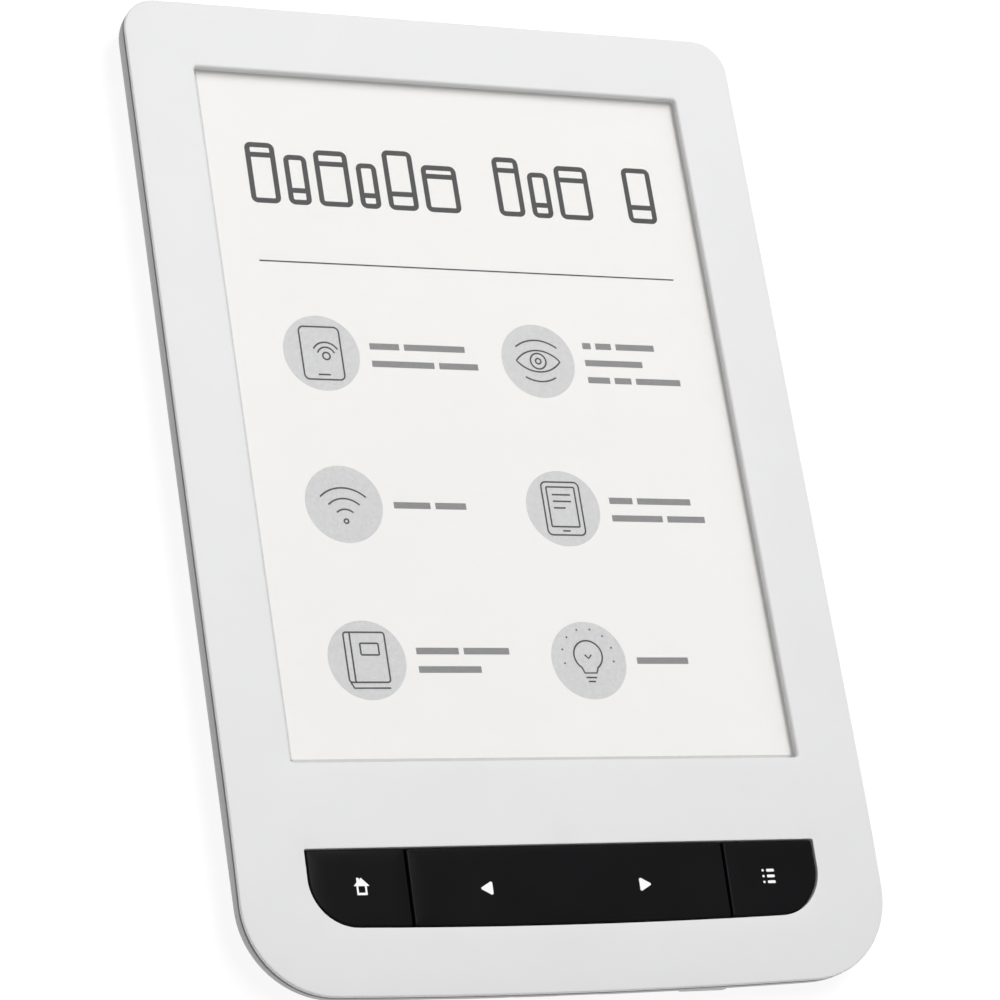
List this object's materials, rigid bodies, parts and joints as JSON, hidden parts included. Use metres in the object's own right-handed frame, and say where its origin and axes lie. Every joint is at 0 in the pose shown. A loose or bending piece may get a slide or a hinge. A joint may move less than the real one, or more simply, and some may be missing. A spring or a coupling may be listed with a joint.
{
  "type": "e-reader",
  "caption": "Slim handheld e-reader with a recessed paper-like screen, a bar of home, page and menu keys, and ports in the bottom edge.",
  "frame": {"origin": "centre of the flat back, on the plane that the reader lies on", "axes": "+X across the page to the right, +Y up the page towards the top edge, +Z out of the screen"},
  "size_m": [0.1146, 0.1744, 0.0083],
  "materials": {
    "bezel": "fine matte spark-eroded texture, off-white",
    "cover": "soft-touch matte coating, pale grey",
    "frame": "thin pressed sheet, satin",
    "gasket": "closed-cell foam, pale grey",
    "clear_panel": "clear, anti-glare etched top",
    "light_guide": "clear film with fine light-scattering dots",
    "flex": "amber polyimide over copper traces",
    "led": "phosphor dome in a white package",
    "screen": "paper-like off-white with dark grey print",
    "display_glass": "thin backplane glass with a dark coat",
    "tray": "black moulding",
    "key": "black, fine satin texture, white printed symbols",
    "dome": "bright spring steel",
    "board": "green solder mask with copper traces",
    "chip": "black moulding compound",
    "tin": "tinned sheet",
    "ceramic_part": "fired ceramic with tinned ends",
    "ferrite": "dark grey ferrite",
    "connector": "natural moulded nylon",
    "lead_red": "red sleeve",
    "lead_black": "black sleeve",
    "cell": "matte pouch foil",
    "cell_tape": "amber tape",
    "foam_tape": "white double-sided tape",
    "port_shell": "nickel-plated shell",
    "tongue": "black moulding with gold contacts",
    "button": "pale grey satin moulding",
    "plunger": "white moulding",
    "light_pipe": "frosted clear rod",
    "screw": "black zinc"
  },
  "bodies": {
    "housing": {"front_bezel": "bezel", "back_cover": "cover", "mid_frame": "frame", "display_gasket": "gasket", "touch_panel": "clear_panel", "light_guide": "light_guide", "light_strip": "flex", "light_leds": "led", "screen_film": "screen", "display_glass": "display_glass", "display_flex": "flex", "touch_flex": "flex", "light_flex": "flex", "key_tray": "tray", "home_dome": "dome", "back_dome": "dome", "forward_dome": "dome", "menu_dome": "dome", "main_board": "board", "processor": "chip", "memory_chip": "chip", "storage_chip": "chip", "power_chip": "chip", "shield_can": "tin", "wifi_module": "tin", "chip_antenna": "ceramic_part", "crystal": "tin", "inductors": "ferrite", "capacitors": "ceramic_part", "display_connector": "connector", "touch_connector": "connector", "light_connector": "connector", "battery_socket": "connector", "battery_plug": "connector", "battery_lead_red": "lead_red", "battery_lead_black": "lead_black", "battery_cell": "cell", "protection_board": "cell_tape", "battery_tape": "foam_tape", "usb_socket": "port_shell", "usb_tongue": "tongue", "card_socket": "port_shell", "power_switch": "tin", "reset_switch": "tin", "status_led": "led", "light_pipe": "light_pipe", "board_screws": "screw", "frame_screws": "screw"},
    "home_key": {"home_key": "key"},
    "page_key": {"page_key": "key"},
    "menu_key": {"menu_key": "key"},
    "power_button": {"power_button": "button", "power_plunger": "plunger"},
    "reset_button": {"reset_plunger": "plunger"}
  },
  "joints": [
    {"name": "home_key_press", "type": "slide", "parent": "housing", "child": "home_key", "axis": [0, 0, -1], "range_m": [0, 0.00025], "stiffness_N_per_m": 1500, "deforming": ["home_dome"]},
    {"name": "menu_key_press", "type": "slide", "parent": "housing", "child": "menu_key", "axis": [0, 0, -1], "range_m": [0, 0.00025], "stiffness_N_per_m": 1500, "deforming": ["menu_dome"]},
    {"name": "page_key_rock", "type": "hinge", "parent": "housing", "child": "page_key", "pos_m": [0, -0.0696, 0.00585], "axis": [0, 1, 0], "range_deg": [-0.8, 0.8], "stiffness_Nm_per_rad": 1, "deforming": ["back_dome", "forward_dome"]},
    {"name": "power_button_press", "type": "slide", "parent": "housing", "child": "power_button", "axis": [0, 1, 0], "range_m": [0, 0.0003], "stiffness_N_per_m": 1500},
    {"name": "reset_press", "type": "slide", "parent": "housing", "child": "reset_button", "axis": [0, 1, 0], "range_m": [0, 0.00025], "stiffness_N_per_m": 1500}
  ]
}
